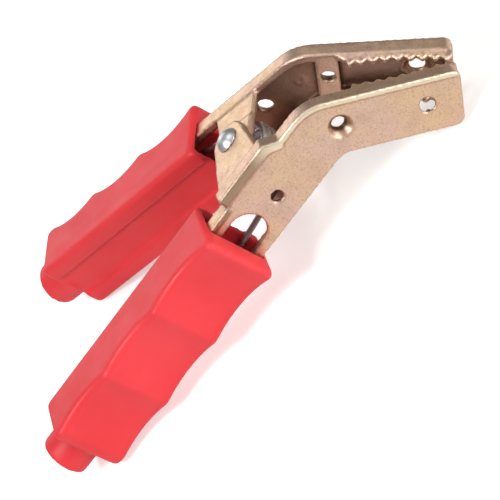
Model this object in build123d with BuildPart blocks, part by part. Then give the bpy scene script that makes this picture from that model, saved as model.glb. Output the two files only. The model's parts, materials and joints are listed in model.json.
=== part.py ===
from build123d import *
from math import asin, atan2, cos, degrees, radians, sin, tan
import os

# Heavy-duty angled booster clamp: two cast brass halves on a rivet, two soft grip sleeves, a torsion
# spring and the cable saddle inside the left handle.
#
# Each half is drawn in its own frame: x runs from the pivot towards the jaws, y along the pivot axis
# and z away from the pivot, out of the half's flat web. Its outer ear is at +y.
# The pieces are made round a pivot that lies along Y, with the convex side of the bend at +Y. Then the
# clamp is laid on its concave side: it stands on the jaws' ends and the sleeves' tail ends, +Z up on
# the convex side, jaws towards +X, right half at -Y.

# ---- castings: outline of the web ----
half_width = 12.25  # handle part of a casting, from its middle to its edge
tail_x = -74.0  # the casting's hidden end, inside the sleeve
tail_radius = 2.0
bend_x = 32.7  # convex corner of the bend
bend_angle = 45.0
bend_radius_out = 18.0
bend_radius_in = 8.0
arm_width = 22.8
arm_length = 57.7  # from the convex corner of the bend to the end of the jaw
tip_radius = 3.5

# ---- castings: section ----
web_out = 25.2
web_thickness = 2.2
bead_height = 1.0  # the bead along the convex edge stands proud of the web
bead_width = 2.1
rim_depth = 5.4  # from the web's outer face to the rims' inner edge
rim_thickness = 3.2
cut_past = 1.0  # how far a cut runs on beyond the surface it opens

# ---- castings: ears ----
pivot_diameter = 6.0
running_clearance = 0.05  # radial, rivet in the ears
side_clearance = 0.15  # between surfaces that slide past each other on the pivot
ear_radius = 8.2
ear_thickness = 2.9
ear_root = 0.7  # the ears' feet begin this far behind the rims' inner edge
ear_cover = 0.2  # and end this far short of the web's outer face
ear_base_back = -13.2
ear_base_front = 10.4
boss_back = -13.7
boss_front = 12.5
boss_ramp = 5.0  # where the boss runs back into the bead
boss_step = 1.2  # the boss stands proud of the ear's face
boss_setback = 1.0  # the boss begins this far behind the rims' inner edge
boss_corner = 3.0  # length of its cut corner at the front
pocket_inset = 1.0  # wall left between the inner ear's pocket and the boss's slope
ear_relief = 0.6  # the inner ear's face is set back between the rim and the pivot
relief_gap = 1.0  # from the ear's rounded end to the set-back face

# ---- castings: teeth ----
tooth_count = 9
tooth_pitch = 4.4
tooth_depth = 2.4  # at the jaw's end
back_tooth_depth = 1.4
tooth_flat = 0.5
tooth_end_margin = 2.0  # from the last tooth's tip to the end of the jaw
tooth_mid_drop = 1.4  # the toothed edge is hollow along its middle
blade_inset = 0.8
blade_thickness = 2.2
blade_root = 0.5  # the blades run into the rims
blade_overlap = 0.2  # and into the cross rib
runout_share = 0.4  # behind the teeth a blade falls to its end in two slopes
runout_height = 0.35
blade_end_height = 0.4
closed_gap = 0.5  # left between the middles of the last teeth when the jaws are closed
tooth_reach = 4.2  # last tooth of the convex rim, measured from the rim's edge

# ---- castings: rib, holes and window ----
rib_from_tip = 45.55
rib_width = 8.7
rib_hole_diameter = 5.2
rib_sink_diameter = 9.8
tip_hole_from_tip = 13.2
tip_hole_diameter = 5.8
tip_sink_diameter = 10.0
tip_sink_angle = 120
tip_ring_width = 0.9  # raised ring round the sunk side of the tip hole
tip_ring_height = 0.7
right_small_hole = (-1.0, -1.5, 4.8)  # x, y and diameter
left_small_hole = (3.2, 1.0, 6.0)
cast_ring = (22.5, 0.3)
cast_ring_diameter = 4.2
cast_ring_width = 0.6
cast_ring_height = 0.35
window_front = -11.2
window_back = -42.0
window_width = 14.5
window_y = -0.8

# ---- grip sleeves ----
grip_mouth = -24.0
grip_end = -125.0
grip_inner = 9.5  # face towards the other handle
grip_wall = 2.4
grip_side_wall = 2.55
grip_inner_wall = 3.4
grip_clearance = 0.2  # to the casting, all round
lip_rise = 11.4  # over the web's outer face
lip_setback = 2.2
lip_drop = 3.2
lip_radius = 6.4
crests = [(-60.0, 8.4), (-91.5, 8.0), (-120.0, 7.4)]  # x, and the rise over the web's outer face
valleys = [(-44.5, 5.4), (-75.5, 4.7), (-106.5, 4.7)]
grip_end_drop = 1.0  # from the last crest to the end
grip_edge_radius = 2.5
groove_width = 14.0  # shallow channel along the face towards the other handle
groove_depth = 1.8
grip_end_radius = 2.5
crest_radius = 1.2
tail_diameter = 19.0
tail_length = 11.2
cable_bore = 13.0

# ---- spring ----
wire = 2.4
coil_mean_radius = 10.8
coil_half_length = 7.7
leg_slope = 12.0  # degrees, each leg against its half's web
leg_y = 6.5  # the legs leave the coil's two ends
leg_gap = 0.1  # from a leg's end to the web
leg_thinning = 0.1  # off a leg's diameter: the leg then starts inside the coil's wall

# ---- rivet, washer and spacer ----
head_diameter = 10.0
head_height = 3.0
washer_diameter = 12.0
washer_thickness = 1.0
spacer_diameter = 9.6
spacer_clearance = 0.15  # radial, on the rivet

# ---- cable saddle in the left handle ----
rim_back = -53.0  # the rims stop short of the saddle
saddle_x = -63.0
saddle_length = 11.0
saddle_inset = 0.25  # from the web's edge to the saddle's end
saddle_thickness = 1.6
saddle_groove_radius = 4.2
saddle_screw_inset = 3.35  # from the web's edge to a screw's axis
screw_diameter = 3.0
screw_clearance = 0.1  # radial
screw_head_diameter = 5.4
screw_head_height = 2.0
screw_head_radius = 0.7
screw_slot = 0.8
slot_turn = 35

# ---- derived sizes ----
web_in = web_out - web_thickness
bead_out = web_out + bead_height
rim_in = web_out - rim_depth
ear_base_z = rim_in + ear_root
boss_in = rim_in + boss_setback
ear_out = half_width + side_clearance + ear_thickness  # outer face of an outer ear
boss_out = ear_out + boss_step
ear_in = half_width - ear_thickness
arm_dir = Vector(cos(radians(bend_angle)), -sin(radians(bend_angle)))
arm_side = Vector(sin(radians(bend_angle)), cos(radians(bend_angle)))
bend_corner = Vector(bend_x, half_width)
tip_out = bend_corner + arm_dir * arm_length
tip_in = tip_out - arm_side * arm_width
inner_run = (tip_in.Y + half_width) / arm_dir.Y
bend_in = tip_in - arm_dir * inner_run
grip_width = 2 * (half_width + grip_clearance + grip_side_wall)
cavity_in = grip_inner + grip_inner_wall
cavity_out = bead_out + grip_clearance
tail_z = (cavity_in + cavity_out) / 2
saddle_half_width = half_width - saddle_inset
saddle_screw_y = half_width - saddle_screw_inset


def along_arm(from_tip, from_edge):
    """A point of the jaw arm, measured back from its end and in from its convex edge."""
    return tip_out - arm_dir * from_tip - arm_side * from_edge


blade_out_edge = blade_inset + blade_thickness / 2
blade_in_edge = arm_width - blade_out_edge
last_tooth = along_arm(tooth_end_margin, blade_out_edge)
last_tooth_z = rim_in - tooth_reach
closed_half_angle = degrees(atan2(last_tooth_z - closed_gap / 2, last_tooth.X))


def tooth_profile(edge):
    """Outline of a toothed blade: back from the jaw's end, and out from the rim's edge."""
    first = along_arm(tooth_end_margin, edge)
    reach = rim_in - closed_gap / 2 - first.X * tan(radians(closed_half_angle))
    middle = tooth_end_margin + tooth_pitch * (tooth_count - 1) / 2
    points = [(tooth_end_margin - tooth_pitch / 2, -blade_root)]
    points.append((tooth_end_margin - tooth_pitch / 2, reach - tooth_depth))
    for number in range(tooth_count):
        back = tooth_end_margin + number * tooth_pitch
        hollow = 1 - ((back - middle) / (middle - tooth_end_margin)) ** 2
        height = reach - tooth_mid_drop * hollow
        points.append((back - tooth_flat / 2, height))
        points.append((back + tooth_flat / 2, height))
        if number < tooth_count - 1:
            depth = tooth_depth + (back_tooth_depth - tooth_depth) * number / (tooth_count - 2)
            points.append((back + tooth_pitch / 2, height - depth))
    blade_back = rib_from_tip - rib_width / 2 + blade_overlap
    points.append((back + (blade_back - back) * runout_share, height * runout_height))
    points.append((blade_back, blade_end_height))
    points.append((blade_back, -blade_root))
    return points


def half_frame(tilt, outward):
    """Local frame of a half: x to the jaws, z out of its web; outward is +1 right and -1 left."""
    turn = radians(tilt)
    return Plane(
        origin=(0, 0, 0),
        x_dir=(cos(turn), 0, -sin(turn)),
        z_dir=(outward * sin(turn), 0, outward * cos(turn)),
    )


right_frame = half_frame(closed_half_angle, 1)
left_frame = half_frame(-closed_half_angle, -1)


def side_plane(frame, y):
    """Plane across the pivot axis: its x and y are the half's x and z; it extrudes towards -y."""
    return Plane(
        origin=frame.from_local_coords(Vector(0, y, 0)), x_dir=frame.x_dir, z_dir=-frame.y_dir
    )


def main_outline(hand):
    """Outline of a casting's web; hand is +1 where the frame's +y is the convex side."""
    corners = [
        (tail_x, half_width),
        (bend_corner.X, bend_corner.Y),
        (tip_out.X, tip_out.Y),
        (tip_in.X, tip_in.Y),
        (bend_in.X, bend_in.Y),
        (tail_x, -half_width),
    ]
    radii = [tail_radius, bend_radius_out, tip_radius, tip_radius, bend_radius_in, tail_radius]
    with BuildLine(mode=Mode.PRIVATE) as edge:
        FilletPolyline(*[(x, hand * y) for x, y in corners], radius=radii, close=True)
    return edge.line


def casting(frame, hand, small_hole, screw_holes):
    """One cast half: web, rims, ears, rib and teeth. Its outer ear is at the frame's +y."""
    arm = Vector(arm_dir.X, hand * arm_dir.Y)
    boss_plan = [
        (boss_back, 0),
        (boss_back, boss_out),
        (boss_front, boss_out),
        (boss_front + boss_ramp, half_width),
        (boss_front + boss_ramp, 0),
    ]
    pocket_plan = [
        (boss_back, 0),
        (boss_back, half_width + side_clearance),
        (boss_front - pocket_inset, half_width + side_clearance),
        (boss_front + boss_ramp - pocket_inset, half_width - rim_thickness),
        (boss_front + boss_ramp - pocket_inset, 0),
    ]

    def on_arm(from_tip, from_edge):
        place = along_arm(from_tip, from_edge)
        return Vector(place.X, hand * place.Y)

    with BuildSketch(mode=Mode.PRIVATE) as channel:
        with BuildLine():
            add(main_outline(hand))
        make_face()
        offset(amount=-rim_thickness, mode=Mode.REPLACE)

    with BuildPart() as body:
        # web, widened under the outer ear
        with BuildSketch(frame.offset(web_in)):
            with BuildLine():
                add(main_outline(hand))
            make_face()
            with BuildLine():
                Polyline(*boss_plan, close=True)
            make_face()
        extrude(amount=web_thickness)

        # rims round the channel, stepped outwards at the outer ear
        with BuildSketch(frame.offset(rim_in)):
            with BuildLine():
                add(main_outline(hand))
            make_face()
            with BuildLine():
                Polyline(*boss_plan, close=True)
            make_face()
            add(channel.sketch, mode=Mode.SUBTRACT)
            with BuildLine():
                Polyline(*pocket_plan, close=True)
            make_face(mode=Mode.SUBTRACT)
            with Locations((tail_x, 0)):
                Rectangle(2 * (rim_back - tail_x), 4 * half_width, mode=Mode.SUBTRACT)
        extrude(amount=web_in - rim_in)

        # bead standing proud along the convex edge, and the boss of the outer ear
        with BuildSketch(frame.offset(web_out)):
            bead_middle = half_width - bead_width / 2
            with BuildLine():
                bead_path = [
                    (tail_x, hand * bead_middle),
                    (bend_x - bead_width / 2 * tan(radians(bend_angle / 2)), hand * bead_middle),
                    (on_arm(0, bead_width / 2).X, on_arm(0, bead_width / 2).Y),
                ]
                FilletPolyline(*bead_path, radius=bend_radius_out - bead_width / 2)
            trace(line_width=bead_width)
            with BuildLine():
                add(main_outline(hand))
            make_face(mode=Mode.INTERSECT)
            with BuildLine():
                Polyline(*pocket_plan, close=True)
            make_face(mode=Mode.SUBTRACT)
            with BuildLine():
                Polyline(
                    (boss_back, half_width + side_clearance),
                    *boss_plan[1:4],
                    *reversed(pocket_plan[2:4]),
                    close=True,
                )
            make_face()
        extrude(amount=bead_height)

        # outer ear with its boss, and inner ear
        for y, thickness in ((ear_out, ear_thickness), (-ear_in, ear_thickness)):
            with BuildSketch(side_plane(frame, y)):
                Circle(ear_radius)
                with BuildLine():
                    Polyline(
                        (ear_base_back, ear_base_z),
                        (ear_base_back, web_out - ear_cover),
                        (ear_base_front, web_out - ear_cover),
                        (ear_base_front, ear_base_z),
                        close=True,
                    )
                make_face()
                make_hull()
            extrude(amount=thickness)
        with BuildSketch(side_plane(frame, boss_out)):
            with BuildLine():
                Polyline(
                    (boss_back, web_out),
                    (boss_back, boss_in),
                    (boss_front - boss_corner, boss_in),
                    (boss_front, rim_in),
                    (boss_front, web_out),
                    close=True,
                )
            make_face()
        extrude(amount=boss_out - half_width - side_clearance)

        # set-back face of the inner ear
        relief_in = ear_radius + relief_gap
        with BuildSketch(side_plane(frame, -half_width + ear_relief)):
            with Locations(((boss_back + boss_front) / 2, (relief_in + rim_in) / 2)):
                Rectangle(boss_front - boss_back, rim_in - relief_in)
        extrude(amount=ear_relief + cut_past, mode=Mode.SUBTRACT)

        # cross rib
        rib_middle = on_arm(rib_from_tip, arm_width / 2)
        with BuildSketch(frame.offset(rim_in)):
            with Locations((rib_middle.X, rib_middle.Y)):
                Rectangle(rib_width, arm_width - rim_thickness, rotation=-hand * bend_angle)
        extrude(amount=web_in - rim_in)

        # toothed blades on both rims
        for edge in (blade_out_edge, blade_in_edge):
            foot = on_arm(0, edge)
            blade_plane = Plane(
                origin=frame.from_local_coords(Vector(foot.X, foot.Y, rim_in)),
                x_dir=-(frame.x_dir * arm.X + frame.y_dir * arm.Y),
                z_dir=frame.x_dir * (hand * arm_dir.Y) - frame.y_dir * arm_dir.X,
            )
            with BuildSketch(blade_plane):
                with BuildLine():
                    Polyline(*tooth_profile(edge), close=True)
                make_face()
            extrude(amount=blade_thickness / 2, both=True)

        # rings on the channel's floor: a casting mark, and one round the tip hole
        tip_hole = on_arm(tip_hole_from_tip, arm_width / 2)
        with BuildSketch(frame.offset(web_in)):
            with Locations((cast_ring[0], hand * cast_ring[1])):
                Circle(cast_ring_diameter / 2)
                Circle(cast_ring_diameter / 2 - cast_ring_width, mode=Mode.SUBTRACT)
        extrude(amount=-cast_ring_height)
        with BuildSketch(frame.offset(web_in)):
            with Locations((tip_hole.X, tip_hole.Y)):
                Circle(tip_sink_diameter / 2 + tip_ring_width)
                Circle(tip_sink_diameter / 2, mode=Mode.SUBTRACT)
        extrude(amount=-tip_ring_height)

        # spring window, and the holes through the web
        with BuildSketch(frame.offset(web_in - cut_past)):
            with Locations(((window_front + window_back) / 2, hand * window_y)):
                SlotOverall(window_front - window_back, window_width)
        extrude(amount=web_thickness + 2 * cut_past, mode=Mode.SUBTRACT)
        with BuildSketch(frame.offset(web_in - cut_past)):
            with Locations((small_hole[0], hand * small_hole[1])):
                Circle(small_hole[2] / 2)
        extrude(amount=web_thickness + 2 * cut_past, mode=Mode.SUBTRACT)
        with Locations(frame.offset(web_out) * Location((rib_middle.X, rib_middle.Y, 0))):
            CounterSinkHole(rib_hole_diameter / 2, rib_sink_diameter / 2, depth=rim_depth + cut_past)
        with Locations(frame.offset(web_in) * Location((tip_hole.X, tip_hole.Y, 0), (180, 0, 0))):
            CounterSinkHole(
                tip_hole_diameter / 2,
                tip_sink_diameter / 2,
                depth=web_thickness + cut_past,
                counter_sink_angle=tip_sink_angle,
            )

        if screw_holes:
            with BuildSketch(frame.offset(web_in - cut_past)):
                with Locations((saddle_x, saddle_screw_y), (saddle_x, -saddle_screw_y)):
                    Circle(screw_diameter / 2 + screw_clearance)
            extrude(amount=web_thickness + 2 * cut_past, mode=Mode.SUBTRACT)

        # pivot holes through both ears
        with BuildSketch(side_plane(frame, boss_out + cut_past)):
            Circle(pivot_diameter / 2 + running_clearance)
        extrude(amount=2 * (boss_out + cut_past), mode=Mode.SUBTRACT)
    return body


def grip_sleeve(frame):
    """One soft sleeve: scalloped outside, a channel along its inner face, open at the mouth."""
    lip = (grip_mouth - lip_setback, web_out + lip_rise)
    lip_foot = (grip_mouth, web_out + lip_rise - lip_drop)
    crest_points = [(x, web_out + rise) for x, rise in crests]
    valley_points = [(x, web_out + rise) for x, rise in valleys]
    end_top = (grip_end, crest_points[-1][1] - grip_end_drop)
    with BuildPart() as sleeve:
        with BuildSketch(side_plane(frame, grip_width / 2)) as profile:
            with BuildLine():
                Line((grip_mouth, grip_inner), lip_foot)
                RadiusArc(lip_foot, lip, -lip_radius)
                crest = lip
                for valley, next_crest in zip(valley_points, crest_points):
                    ThreePointArc(crest, valley, next_crest)
                    crest = next_crest
                Polyline(crest, end_top, (grip_end, grip_inner), (grip_mouth, grip_inner))
            make_face()
            soft_points = [lip, lip_foot, *crest_points]
            soft = [profile.vertices().sort_by_distance(point)[0] for point in soft_points]
            fillet(soft, radius=crest_radius)
            fillet(profile.vertices().group_by(Axis.X)[0], radius=grip_end_radius)
        extrude(amount=grip_width)
        sides = sleeve.faces().filter_by(Axis.Y).edges()
        fillet(sides, radius=grip_edge_radius)

        # channel along the inner face
        with BuildSketch(frame.offset(grip_inner)):
            with Locations(((grip_mouth + grip_end) / 2, 0)):
                Rectangle(grip_mouth - grip_end, groove_width)
        extrude(amount=groove_depth, mode=Mode.SUBTRACT)

        # tail tube
        tail_frame = Plane(
            origin=frame.from_local_coords(Vector(grip_end + grip_wall, 0, tail_z)),
            x_dir=frame.y_dir,
            z_dir=-frame.x_dir,
        )
        with BuildSketch(tail_frame):
            Circle(tail_diameter / 2)
        extrude(amount=tail_length + grip_wall)

        # hollow for the casting and the cable, and the cable's way in
        mouth_frame = Plane(
            origin=frame.from_local_coords(Vector(grip_mouth, 0, (cavity_in + cavity_out) / 2)),
            x_dir=frame.y_dir,
            z_dir=-frame.x_dir,
        )
        with BuildSketch(mouth_frame):
            Rectangle(2 * (half_width + grip_clearance), cavity_out - cavity_in)
        extrude(amount=grip_mouth - grip_end - grip_wall, mode=Mode.SUBTRACT)
        with BuildSketch(tail_frame):
            Circle(cable_bore / 2)
        extrude(amount=tail_length + grip_wall + cut_past, mode=Mode.SUBTRACT)
    return sleeve


right_jaw = casting(right_frame, 1, right_small_hole, False)
right_jaw.part.label = "right_jaw"
left_jaw = casting(left_frame, -1, left_small_hole, True)
left_jaw.part.label = "left_jaw"
right_grip = grip_sleeve(right_frame)
right_grip.part.label = "right_grip"
left_grip = grip_sleeve(left_frame)
left_grip.part.label = "left_grip"

# Rivet along the pivot axis: domed head on the convex side, closed over a washer on the other.
head_face = ear_out + side_clearance
washer_face = -ear_out - side_clearance / 2
closed_face = washer_face - washer_thickness
dome_radius = ((head_diameter / 2) ** 2 + head_height**2) / (2 * head_height)
with BuildPart() as pivot_rivet:
    with BuildSketch(Plane.XZ.offset(-head_face)):
        Circle(pivot_diameter / 2)
    extrude(amount=head_face - closed_face)
    with BuildSketch(Plane.YZ):
        with BuildLine():
            Line((head_face, 0), (head_face, head_diameter / 2))
            RadiusArc((head_face, head_diameter / 2), (head_face + head_height, 0), dome_radius)
            Line((head_face + head_height, 0), (head_face, 0))
        make_face()
    revolve(axis=Axis.Y)
    with BuildSketch(Plane.YZ):
        with BuildLine():
            Line((closed_face, 0), (closed_face, head_diameter / 2))
            RadiusArc((closed_face, head_diameter / 2), (closed_face - head_height, 0), -dome_radius)
            Line((closed_face - head_height, 0), (closed_face, 0))
        make_face()
    revolve(axis=Axis.Y)
pivot_rivet.part.label = "pivot_rivet"

with BuildPart() as rivet_washer:
    with BuildSketch(Plane.XZ.offset(-washer_face)):
        Circle(washer_diameter / 2)
        Circle(pivot_diameter / 2 + running_clearance, mode=Mode.SUBTRACT)
    extrude(amount=washer_thickness)
rivet_washer.part.label = "rivet_washer"

# Spacer between the two inner ears, with a side clearance at each end.
spacer_half_length = ear_in - side_clearance
with BuildPart() as spacer_tube:
    with BuildSketch(Plane.XZ.offset(-spacer_half_length)):
        Circle(spacer_diameter / 2)
        Circle(pivot_diameter / 2 + spacer_clearance, mode=Mode.SUBTRACT)
    extrude(amount=2 * spacer_half_length)
spacer_tube.part.label = "spacer_tube"

# Torsion spring: the coil's envelope and two straight legs, each bearing on its half's web.
leg_turn = radians(leg_slope)
leg_rise = web_in - wire / 2 - leg_gap - coil_mean_radius * cos(leg_turn)
leg_length = leg_rise / sin(leg_turn) - wire / 2
with BuildPart() as torsion_spring:
    with BuildSketch(Plane.XZ.offset(-coil_half_length)):
        Circle(coil_mean_radius + wire / 2)
        Circle(coil_mean_radius - wire / 2, mode=Mode.SUBTRACT)
    extrude(amount=2 * coil_half_length)
    for frame, y in ((right_frame, -leg_y), (left_frame, leg_y)):
        outward = Vector(sin(leg_turn), 0, cos(leg_turn)) * coil_mean_radius
        start = frame.from_local_coords(outward)
        leg_plane = Plane(
            origin=start + Vector(0, y, 0),
            z_dir=frame.z_dir * sin(leg_turn) - frame.x_dir * cos(leg_turn),
        )
        with BuildSketch(leg_plane):
            Circle((wire - leg_thinning) / 2)
        extrude(amount=leg_length)
torsion_spring.part.label = "torsion_spring"

# Cable saddle: a strap with a half-round groove, screwed to the left web inside the sleeve.
saddle_plane = Plane(
    origin=left_frame.from_local_coords(Vector(saddle_x, 0, web_in)),
    x_dir=left_frame.y_dir,
    z_dir=-left_frame.x_dir,
)
saddle_side = saddle_plane.y_dir.dot(left_frame.z_dir)
with BuildPart() as cable_saddle:
    with BuildSketch(saddle_plane):
        with Locations((0, -saddle_side * saddle_thickness / 2)):
            Rectangle(2 * saddle_half_width, saddle_thickness)
        Circle(saddle_groove_radius + saddle_thickness)
        Circle(saddle_groove_radius, mode=Mode.SUBTRACT)
        with Locations((0, saddle_side * saddle_half_width)):
            Rectangle(4 * saddle_half_width, 2 * saddle_half_width, mode=Mode.SUBTRACT)
    extrude(amount=saddle_length / 2, both=True)
    with BuildSketch(left_frame.offset(web_in - saddle_thickness)):
        with Locations((saddle_x, saddle_screw_y), (saddle_x, -saddle_screw_y)):
            Circle(screw_diameter / 2 + screw_clearance)
    extrude(amount=saddle_thickness, mode=Mode.SUBTRACT)
cable_saddle.part.label = "cable_saddle"


def saddle_screw(y):
    """Pan-head screw through the saddle's foot into the left web."""
    with BuildPart() as screw:
        with BuildSketch(left_frame.offset(web_in - saddle_thickness)):
            with Locations((saddle_x, y)):
                Circle(screw_head_diameter / 2)
        extrude(amount=-screw_head_height)
        rim = screw.edges().group_by(Axis(left_frame.origin, left_frame.z_dir))[0]
        fillet(rim, radius=screw_head_radius)
        with BuildSketch(left_frame.offset(web_in - saddle_thickness)):
            with Locations((saddle_x, y)):
                Circle(screw_diameter / 2)
        extrude(amount=saddle_thickness + web_thickness)
        with BuildSketch(left_frame.offset(web_in - saddle_thickness - screw_head_height)):
            with Locations((saddle_x, y)):
                Rectangle(screw_head_diameter + cut_past, screw_slot, rotation=slot_turn)
        extrude(amount=screw_slot, mode=Mode.SUBTRACT)
    return screw


saddle_screw_1 = saddle_screw(saddle_screw_y)
saddle_screw_1.part.label = "saddle_screw_1"
saddle_screw_2 = saddle_screw(-saddle_screw_y)
saddle_screw_2.part.label = "saddle_screw_2"

# Lay the clamp down: its surface touches the rounded corners of the jaws' ends and of the sleeves'
# tail ends. Then put the origin at the middle of the footprint.
closed_turn = radians(closed_half_angle)
tip_corner = along_arm(tip_radius, arm_width - tip_radius)
tip_foot = Vector(tip_corner.X * cos(closed_turn) + rim_in * sin(closed_turn), tip_corner.Y)
tail_corner = Vector(grip_end + grip_end_radius, grip_inner + grip_end_radius)
tail_foot = Vector(
    tail_corner.X * cos(closed_turn) + tail_corner.Y * sin(closed_turn),
    grip_edge_radius - grip_width / 2,
)
foot_span = tip_foot - tail_foot
radius_gain = asin((tip_radius - grip_edge_radius) / foot_span.length)
lay_tilt = degrees(atan2(-foot_span.Y, foot_span.X) + radius_gain)
laid = Location((0, 0, 0), (0, -lay_tilt, 0)) * Location((0, 0, 0), (90, 0, 0))
pieces = [
    left_jaw,
    right_jaw,
    left_grip,
    right_grip,
    pivot_rivet,
    rivet_washer,
    spacer_tube,
    torsion_spring,
    cable_saddle,
    saddle_screw_1,
    saddle_screw_2,
]
for piece in pieces:
    piece.part.move(laid)
boxes = [piece.part.bounding_box() for piece in pieces]
low = Vector(*(min(getattr(box.min, axis) for box in boxes) for axis in "XYZ"))
high = Vector(*(max(getattr(box.max, axis) for box in boxes) for axis in "XYZ"))
shift = Vector(-(low.X + high.X) / 2, -(low.Y + high.Y) / 2, -low.Z)
os.makedirs("parts", exist_ok=True)
for piece in pieces:
    piece.part.move(Location(shift))
    export_step(piece.part, f"parts/{piece.part.label}.step")

print("overall size", high - low)
print("pivot at", shift)
print("closed half-angle", closed_half_angle, "lay tilt", lay_tilt)
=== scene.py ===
"""Looks of the angled booster clamp: soft edges, wound spring, materials, light and camera."""

import json
from math import cos, pi, radians, sin

import bpy
from mathutils import Matrix, Vector


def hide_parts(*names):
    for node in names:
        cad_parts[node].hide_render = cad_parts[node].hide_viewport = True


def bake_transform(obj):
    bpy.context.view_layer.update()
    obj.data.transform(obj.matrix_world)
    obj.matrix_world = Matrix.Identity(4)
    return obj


MM = 0.001

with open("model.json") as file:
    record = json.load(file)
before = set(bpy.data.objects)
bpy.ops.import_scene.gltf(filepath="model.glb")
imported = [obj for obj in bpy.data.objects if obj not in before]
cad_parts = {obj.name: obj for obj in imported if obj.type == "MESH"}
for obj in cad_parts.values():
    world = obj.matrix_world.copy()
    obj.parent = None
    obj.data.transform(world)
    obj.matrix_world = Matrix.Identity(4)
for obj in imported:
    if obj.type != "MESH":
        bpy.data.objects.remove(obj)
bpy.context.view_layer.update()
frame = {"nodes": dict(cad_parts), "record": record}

hinge = frame["record"]["behaviour"]["joints"][0]
PIVOT = Vector(hinge["pos_m"])
OPENING_AXIS = Vector(hinge["axis"]).normalized()

# Directions of the clamp as it lies: along the pivot to the convex side, to the right half, and
# between the halves towards the jaws.
TO_CONVEX = -OPENING_AXIS
TO_RIGHT = Vector((0, -1, 0))
TO_JAWS = TO_CONVEX.cross(TO_RIGHT)

# The hole through each web points outward from its half and spans the web's thickness, so it gives
# the half's direction and the heights of the channel's floor and the web's outer face.
mounts = {mount["name"]: mount for mount in frame["record"]["mounts"]}
OUT_OF_HALF = {side: Vector(mounts[f"web_hole_{side}"]["axis"]) for side in ("right", "left")}
HALF_ANGLE = OUT_OF_HALF["right"].angle(TO_RIGHT)
web_hole = mounts["web_hole_right"]
WEB_MIDDLE = (Vector(web_hole["pos_m"]) - PIVOT).dot(OUT_OF_HALF["right"])
WEB_THICKNESS = web_hole["dims"]["length_mm"] * MM
CHANNEL_HEIGHT = WEB_MIDDLE - WEB_THICKNESS / 2
WEB_HEIGHT = WEB_MIDDLE + WEB_THICKNESS / 2
PARTING_HEIGHT = 16.5 * MM  # of the sleeves' moulding line

# Spring, wound of whole wire where the CAD model has a tube and two legs.
WIRE = 2.4 * MM
COIL_RADIUS = 10.8 * MM  # to the wire's middle
WHOLE_TURNS = 5
STEPS_PER_TURN = 24
LEG_OFFSET = 6.5 * MM  # of each leg along the pivot, from the coil's middle
LEG_SLOPE = radians(12)  # outward from the half that it lies in
LEG_LENGTH = 52.3 * MM
WIRE_FACETS = 5  # cuts across each quarter of the wire's section

# Rounding of a piece's edges: size of the even mesh, and how often it is smoothed.
SMOOTHING = 0.5  # share of the way to its neighbours that each pass moves a point
JAW_ROUNDING = (0.5 * MM, 7)
GRIP_ROUNDING = (0.6 * MM, 20)
STEEL_ROUNDING = (0.2 * MM, 2)
SCREW_ROUNDING = (0.12 * MM, 1)

# Samples of the nodes that look round each point of a surface.
EDGE_SAMPLES = 6
OPENNESS_SAMPLES = 8

# Brass casting: colours, then sizes.
GOLD = (0.84, 0.60, 0.40)
BLOOM = (0.83, 0.58, 0.47)
STAIN = (0.62, 0.43, 0.32)
PIT = (0.50, 0.32, 0.20)
RECESS_SHADE = (0.15, 0.078, 0.050)
CHANNEL_FLOOR_SHADE = (0.26, 0.15, 0.11)
BOSS_SHADE = (0.38, 0.26, 0.17)
BEAD_HIGHLIGHT = (0.98, 0.87, 0.66)
WORN_EDGE = (0.96, 0.85, 0.68)
CREASE_SHADE = (0.14, 0.07, 0.035)
BLOOM_SIZE = 16 * MM
STAIN_SIZE = 7 * MM
SAND_SIZE = 2.6 * MM
SAND_DEPTH = 0.08 * MM
GRAIN_SIZE = 0.7 * MM
GRAIN_DEPTH = 0.05 * MM
CHANNEL_REACH = 20 * MM  # recesses up to this width get painted shade
FLOOR_FADE = (0.4 * MM, 1.0 * MM)  # the channel floor's painted shade fades out this far from it
PROUD_FADE = (0.3 * MM, 0.8 * MM)  # over the web's face, up to the top of the bead
BOSS_TO_BEAD = (10 * MM, 20 * MM)  # distances before the pivot over which the boss's painted shade turns to the bead's painted highlight
EDGE_RADIUS = 1.3 * MM

# Moulded PVC: colours, then sizes.
RED = (0.78, 0.030, 0.040)
BRIGHT_RED = (0.86, 0.045, 0.058)
CREST_HIGHLIGHT_RED = (0.95, 0.16, 0.18)
RECESS_SHADE_RED = (0.06, 0.006, 0.010)
CLOUD_SIZE = 30 * MM
PEEL_SIZE = 3 * MM
PEEL_DEPTH = 0.05 * MM
SLEEVE_REACH = 16 * MM  # recesses up to this width get painted shade
FLASH_WIDTH = 0.35 * MM  # to either side of the parting line
FLASH_DEPTH = 0.06 * MM

# Zinc plate and spring wire.
ZINC = (0.80, 0.82, 0.85)
DULL_ZINC = (0.68, 0.70, 0.74)
BRIGHT_WIRE = (0.90, 0.91, 0.94)
GREY_WIRE = (0.68, 0.68, 0.71)
LEG_SHADE_WIRE = (0.42, 0.37, 0.38)
COIL_TO_LEG = (13 * MM, 22 * MM)  # distances from the pivot over which painted shade turns the wire brown

# Floor: a square that lies just under the clamp and shows brighter than it lights the clamp.
FLOOR_HALF = 4.0  # metres, half of its side
FLOOR_DROP = 0.2 * MM
FLOOR_GLOW = 0.5
FLOOR_GREYS = ((0.88, 0.88, 0.88), (0.90, 0.90, 0.90))

# Lights: direction from the clamp, distance and size in metres, power in watts.
SOFTBOXES = {
    "key": ((-0.34, -0.53, 0.77), 1.2, 0.35, 8),
    "top": ((0.35, 0.10, 1.0), 1.3, 0.7, 3),
    "side": ((0.93, -0.42, 0.20), 1.3, 0.7, 11),
    "back": ((-0.56, 0.73, 0.42), 1.3, 0.8, 2.8),
}
ROOM_COLOUR = (1.0, 0.96, 0.90, 1)
ROOM_STRENGTH = 0.20

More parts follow.
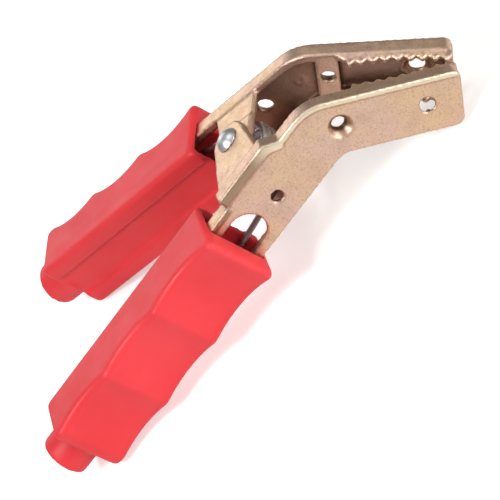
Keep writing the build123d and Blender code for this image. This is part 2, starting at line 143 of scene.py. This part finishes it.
# Camera: swung from square on to the right half, raised, and turned round its own axis.
AZIMUTH = radians(29.28)
ELEVATION = radians(32.77)
ROLL = radians(-53.9)
DISTANCE = 0.7756
AIM = Vector((-21.3, -22.4, -14.2)) * MM  # from the pivot
FOCAL_LENGTH = 151.9  # this and the sensor's width are in the camera's own millimetres
SENSOR_WIDTH = 36


# ---- node helpers ----


class Shader:
    """One material's node tree, with short calls for the nodes that the materials share."""

    def __init__(self, name):
        self.material = bpy.data.materials.new(name)
        self.material.use_nodes = True
        self.nodes = self.material.node_tree.nodes
        self.links = self.material.node_tree.links
        self.surface = self.nodes["Principled BSDF"]
        self.place = self.nodes.new("ShaderNodeTexCoord").outputs["Object"]

    def link(self, source, target):
        """Join an output socket to an input socket."""
        self.links.new(source, target)

    def noise(self, size, detail):
        """Noise with features of about this size, in metres."""
        texture = self.nodes.new("ShaderNodeTexNoise")
        texture.inputs["Scale"].default_value = 1 / size
        texture.inputs["Detail"].default_value = detail
        self.link(self.place, texture.inputs["Vector"])
        return texture.outputs["Fac"]

    def spread(self, value, low, high, to_low=0.0, to_high=1.0):
        """Map low..high to to_low..to_high, clamped."""
        node = self.nodes.new("ShaderNodeMapRange")
        node.inputs["From Min"].default_value = low
        node.inputs["From Max"].default_value = high
        node.inputs["To Min"].default_value = to_low
        node.inputs["To Max"].default_value = to_high
        self.link(value, node.inputs["Value"])
        return node.outputs["Result"]

    def math(self, operation, first, second=0):
        """Work out one value from two; each is a number or a socket."""
        node = self.nodes.new("ShaderNodeMath")
        node.operation = operation
        for socket, value in zip(node.inputs, (first, second)):
            if isinstance(value, (int, float)):
                socket.default_value = value
            else:
                self.link(value, socket)
        return node.outputs["Value"]

    def mix(self, amount, first, second):
        """Blend two colours; each is a tuple or a socket."""
        node = self.nodes.new("ShaderNodeMix")
        node.data_type = "RGBA"
        self.link(amount, node.inputs["Factor"])
        for name, colour in (("A", first), ("B", second)):
            socket = [s for s in node.inputs if s.name == name and s.type == "RGBA"][0]
            if isinstance(colour, tuple):
                socket.default_value = (*colour, 1)
            else:
                self.link(colour, socket)
        return [s for s in node.outputs if s.type == "RGBA"][0]

    def along(self, vector, direction):
        """How far a vector socket reaches in this direction."""
        node = self.nodes.new("ShaderNodeVectorMath")
        node.operation = "DOT_PRODUCT"
        node.inputs[1].default_value = direction
        self.link(vector, node.inputs[0])
        return node.outputs["Value"]

    def above(self, direction, height):
        """Distance over the plane at this height from the pivot in this direction."""
        reach = self.along(self.place, direction)
        return self.math("SUBTRACT", reach, height + direction.dot(PIVOT))

    def off_plane(self, direction, height):
        """Distance from that plane, to either side of it."""
        return self.math("ABSOLUTE", self.above(direction, height))

    def bump(self, height, depth, under=None):
        """Bump of this depth, in metres, on top of another bump if one is given."""
        node = self.nodes.new("ShaderNodeBump")
        node.inputs["Distance"].default_value = depth
        self.link(height, node.inputs["Height"])
        if under is not None:
            self.link(under, node.inputs["Normal"])
        return node.outputs["Normal"]

    def rounded(self, radius):
        """The surface's normal with its edges rounded to this radius."""
        node = self.nodes.new("ShaderNodeBevel")
        node.samples = EDGE_SAMPLES
        node.inputs["Radius"].default_value = radius
        return node.outputs["Normal"]

    def away(self, point):
        """Distance from a point of the scene."""
        node = self.nodes.new("ShaderNodeVectorMath")
        node.operation = "DISTANCE"
        node.inputs[1].default_value = point
        self.link(self.place, node.inputs[0])
        return node.outputs["Value"]

    def edges(self, low, high):
        """0 on flats to 1 on outer edges, from the mesh's own curvature."""
        geometry = self.nodes.new("ShaderNodeNewGeometry")
        return self.spread(geometry.outputs["Pointiness"], low, high)

    def openness(self, reach):
        """1 where nothing is near, falling to 0 in recesses no wider than this reach."""
        node = self.nodes.new("ShaderNodeAmbientOcclusion")
        node.samples = OPENNESS_SAMPLES
        node.only_local = True
        node.inputs["Distance"].default_value = reach
        return node.outputs["AO"]

    def set(self, **values):
        """Constant values, by the surface's socket names with underscores."""
        for name, value in values.items():
            self.surface.inputs[name.replace("_", " ")].default_value = value


# ---- materials ----


def cast_brass(side, outward):
    """Tumbled brass casting: pinkish bloom over gold, sand grain, painted shade in the channel and
    recesses, painted highlight and shade on the heights, worn edges.
    """
    s = Shader(f"cast_brass_{side}")
    bloom = s.spread(s.noise(BLOOM_SIZE, 4), 0.40, 0.62)
    colour = s.mix(bloom, GOLD, BLOOM)
    stain = s.spread(s.noise(STAIN_SIZE, 5), 0.48, 0.75, 0.0, 0.45)
    colour = s.mix(stain, colour, STAIN)
    grain = s.noise(GRAIN_SIZE, 4)
    pits = s.spread(grain, 0.32, 0.50, 0.55, 0.0)
    colour = s.mix(pits, colour, PIT)
    # Painted shade: recesses up to the channel's width are darkened.
    recess_shade_mask = s.spread(s.openness(CHANNEL_REACH), 0.45, 0.92, 1.0, 0.0)
    colour = s.mix(recess_shade_mask, colour, RECESS_SHADE)

    # Painted shade: the channel's floor is darkened where the surface lies at its height and faces
    # the other half.
    facing = s.along(s.nodes.new("ShaderNodeNewGeometry").outputs["Normal"], outward)
    floor = s.spread(s.off_plane(outward, CHANNEL_HEIGHT), *FLOOR_FADE, 1.0, 0.0)
    floor = s.math("MULTIPLY", floor, s.spread(facing, -0.9, -0.5, 1.0, 0.0))
    colour = s.mix(s.math("MULTIPLY", floor, 0.55), colour, CHANNEL_FLOOR_SHADE)

    # Painted light on what stands proud of the web: painted shade on the boss by the pivot, and a
    # painted highlight on the bead before it.
    proud = s.spread(s.above(outward, WEB_HEIGHT), *PROUD_FADE)
    proud_light = s.mix(s.spread(s.above(TO_JAWS, 0), *BOSS_TO_BEAD), BOSS_SHADE, BEAD_HIGHLIGHT)
    colour = s.mix(s.math("MULTIPLY", proud, 0.85), colour, proud_light)

    # Worn edges are pale, and painted shade darkens the bottoms of the tooth gaps and the corners.
    worn = s.edges(0.53, 0.60)
    colour = s.mix(worn, colour, WORN_EDGE)
    crease_shade = s.edges(0.492, 0.455)
    colour = s.mix(s.math("MULTIPLY", crease_shade, 0.85), colour, CREASE_SHADE)
    s.link(colour, s.surface.inputs["Base Color"])
    rough = s.spread(s.noise(3 * MM, 4), 0.3, 0.7, 0.36, 0.50)
    s.link(rough, s.surface.inputs["Roughness"])
    sand = s.bump(s.noise(SAND_SIZE, 2), SAND_DEPTH, s.rounded(EDGE_RADIUS))
    s.link(s.bump(grain, GRAIN_DEPTH, sand), s.surface.inputs["Normal"])
    s.set(Metallic=1.0)
    return s.material


def red_pvc(side, outward):
    """Soft moulded PVC: even red with a painted highlight on its edges and painted shade in its
    recesses, slightly translucent, faint orange-peel, fine parting line.
    """
    s = Shader(f"red_pvc_{side}")
    cloud = s.spread(s.noise(CLOUD_SIZE, 3), 0.3, 0.7)
    colour = s.mix(cloud, RED, BRIGHT_RED)
    # Painted highlight: edges and scallop crests are lightened.
    crest_highlight = s.edges(0.52, 0.60)
    colour = s.mix(s.math("MULTIPLY", crest_highlight, 0.35), colour, CREST_HIGHLIGHT_RED)
    # Painted shade: recesses inside the sleeves are darkened almost to black.
    depth = s.spread(s.openness(SLEEVE_REACH), 0.25, 0.72, 0.97, 0.0)
    colour = s.mix(depth, colour, RECESS_SHADE_RED)
    s.link(colour, s.surface.inputs["Base Color"])
    rough = s.spread(s.noise(8 * MM, 4), 0.3, 0.7, 0.42, 0.54)
    s.link(rough, s.surface.inputs["Roughness"])
    peel = s.bump(s.noise(PEEL_SIZE, 2), PEEL_DEPTH)
    flash = s.spread(s.off_plane(outward, PARTING_HEIGHT), 0.0, FLASH_WIDTH, 1.0, 0.0)
    s.link(s.bump(flash, FLASH_DEPTH, peel), s.surface.inputs["Normal"])
    s.set(Subsurface_Weight=0.12, Subsurface_Scale=1.5 * MM, Subsurface_Radius=(1.0, 0.25, 0.2))
    return s.material


def zinc_steel():
    """Bright zinc plate on turned steel, a little dulled."""
    s = Shader("zinc_steel")
    dull = s.spread(s.noise(2.5 * MM, 5), 0.4, 0.7)
    s.link(s.mix(dull, ZINC, DULL_ZINC), s.surface.inputs["Base Color"])
    s.link(s.spread(s.noise(1.2 * MM, 4), 0.3, 0.7, 0.34, 0.46), s.surface.inputs["Roughness"])
    s.link(s.bump(s.noise(0.8 * MM, 3), 0.004 * MM), s.surface.inputs["Normal"])
    s.set(Metallic=1.0)
    return s.material


def spring_steel():
    """Plated spring wire: bright round the coil, with painted shade turning it brown along the
    legs.
    """
    s = Shader("spring_steel")
    dull = s.spread(s.noise(4 * MM, 4), 0.35, 0.7)
    coil = s.mix(dull, BRIGHT_WIRE, GREY_WIRE)
    # Painted shade: the wire darkens to brown along the legs.
    leg = s.spread(s.away(PIVOT), *COIL_TO_LEG)
    s.link(s.mix(leg, coil, LEG_SHADE_WIRE), s.surface.inputs["Base Color"])
    s.link(s.spread(s.noise(2 * MM, 3), 0.3, 0.7, 0.22, 0.38), s.surface.inputs["Roughness"])
    s.link(s.bump(s.noise(0.6 * MM, 2), 0.01 * MM), s.surface.inputs["Normal"])
    s.set(Metallic=1.0)
    return s.material


# ---- pieces ----


def soften(node, rounding, material):
    """Round a CAD node's edges as a casting or moulding has them, and give it its material."""
    voxel, passes = rounding
    piece = frame["nodes"][node]
    remesh = piece.modifiers.new("even_mesh", "REMESH")
    remesh.mode = "VOXEL"
    remesh.voxel_size = voxel
    remesh.use_smooth_shade = True
    smooth = piece.modifiers.new("soft_edges", "SMOOTH")
    smooth.factor = SMOOTHING
    smooth.iterations = passes
    piece.data.materials.clear()
    piece.data.materials.append(material)


def wire_path():
    """Centre line of the spring: right leg, coil round the front of the pivot, left leg."""
    first = pi / 2 - LEG_SLOPE - HALF_ANGLE
    travel = 2 * first + 2 * pi * WHOLE_TURNS
    steps = STEPS_PER_TURN * WHOLE_TURNS
    coil = []
    for step in range(steps + 1):
        part = step / steps
        angle = first - travel * part
        out = TO_JAWS * cos(angle) + TO_RIGHT * sin(angle)
        coil.append(PIVOT + out * COIL_RADIUS + TO_CONVEX * LEG_OFFSET * (2 * part - 1))
    # A leg runs back along its half, sloping out to the web.
    back = HALF_ANGLE + LEG_SLOPE
    right_leg = TO_RIGHT * sin(back) - TO_JAWS * cos(back)
    left_leg = -TO_RIGHT * sin(back) - TO_JAWS * cos(back)
    return [coil[0] + right_leg * LEG_LENGTH, *coil, coil[-1] + left_leg * LEG_LENGTH]


def wire_spring(material):
    """Round wire along the spring's centre line, which twists between the two halves."""
    curve = bpy.data.curves.new("spring_line", "CURVE")
    curve.dimensions = "3D"
    curve.bevel_depth = WIRE / 2
    curve.bevel_resolution = WIRE_FACETS
    curve.use_fill_caps = True
    points = wire_path()
    spline = curve.splines.new("POLY")
    spline.points.add(len(points) - 1)
    for point, place in zip(spline.points, points):
        point.co = (*place, 1)
    line = bpy.data.objects.new("spring_line", curve)
    mesh = bpy.data.meshes.new_from_object(line)
    bpy.data.objects.remove(line)
    mesh.materials.clear()
    mesh.materials.append(material)
    mesh.shade_smooth()
    spring = bpy.data.objects.new("spring_wire", mesh)
    bpy.context.scene.collection.objects.link(spring)
    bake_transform(spring)
    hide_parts("torsion_spring")


# ---- stage ----


def plain_floor():
    """Pale matt floor under the clamp."""
    s = Shader("floor_paint")
    tone = s.spread(s.noise(0.4, 2), 0.3, 0.7)
    s.link(s.mix(tone, *FLOOR_GREYS), s.surface.inputs["Base Color"])
    seen = s.nodes.new("ShaderNodeLightPath").outputs["Is Camera Ray"]
    s.link(s.math("MULTIPLY", seen, FLOOR_GLOW), s.surface.inputs["Emission Strength"])
    s.set(Roughness=0.8, Emission_Color=(1, 1, 1, 1))
    mesh = bpy.data.meshes.new("floor")
    signs = ((-1, -1), (1, -1), (1, 1), (-1, 1))
    corners = [(x * FLOOR_HALF, y * FLOOR_HALF, 0) for x, y in signs]
    mesh.from_pydata(corners, [], [(0, 1, 2, 3)])
    mesh.materials.append(s.material)
    floor = bpy.data.objects.new("floor", mesh)
    floor.location.z = -FLOOR_DROP
    bpy.context.scene.collection.objects.link(floor)


def softbox(name, towards, distance, size, power):
    """Square area light in this direction from the clamp, aimed at it."""
    light = bpy.data.lights.new(name, "AREA")
    light.shape = "SQUARE"
    light.size = size
    light.energy = power
    lamp = bpy.data.objects.new(name, light)
    direction = Vector(towards).normalized()
    lamp.location = PIVOT + direction * distance
    lamp.rotation_euler = direction.to_track_quat("Z", "Y").to_euler()
    bpy.context.scene.collection.objects.link(lamp)


def studio():
    """Four soft boxes, and a warm grey room for the metal to reflect."""
    world = bpy.data.worlds.new("room")
    world.use_nodes = True
    background = world.node_tree.nodes["Background"]
    background.inputs["Color"].default_value = ROOM_COLOUR
    background.inputs["Strength"].default_value = ROOM_STRENGTH
    bpy.context.scene.world = world
    for name, lamp in SOFTBOXES.items():
        softbox(name, *lamp)
    bpy.context.scene.view_settings.view_transform = "Standard"


def camera():
    """Long lens at the viewing angle: above the right half, turned round its own axis."""
    lens = bpy.data.cameras.new("camera")
    lens.sensor_width = SENSOR_WIDTH
    lens.lens = FOCAL_LENGTH
    lens.clip_start = 0.01
    eye = bpy.data.objects.new("camera", lens)
    across = Vector((-sin(AZIMUTH), cos(AZIMUTH), 0))
    look = across * cos(ELEVATION) - Vector((0, 0, sin(ELEVATION)))
    place = Matrix.Translation(PIVOT + AIM - look * DISTANCE)
    turn = (-look).to_track_quat("Z", "Y").to_matrix().to_4x4()
    eye.matrix_world = place @ turn @ Matrix.Rotation(ROLL, 4, "Z")
    bpy.context.scene.collection.objects.link(eye)
    bpy.context.scene.camera = eye


zinc = zinc_steel()
for side, outward in OUT_OF_HALF.items():
    soften(f"{side}_jaw", JAW_ROUNDING, cast_brass(side, outward))
    soften(f"{side}_grip", GRIP_ROUNDING, red_pvc(side, outward))
for node in ("pivot_rivet", "rivet_washer", "spacer_tube", "cable_saddle"):
    soften(node, STEEL_ROUNDING, zinc)
for node in ("saddle_screw_1", "saddle_screw_2"):
    soften(node, SCREW_ROUNDING, zinc)
wire_spring(spring_steel())
plain_floor()
studio()
camera()
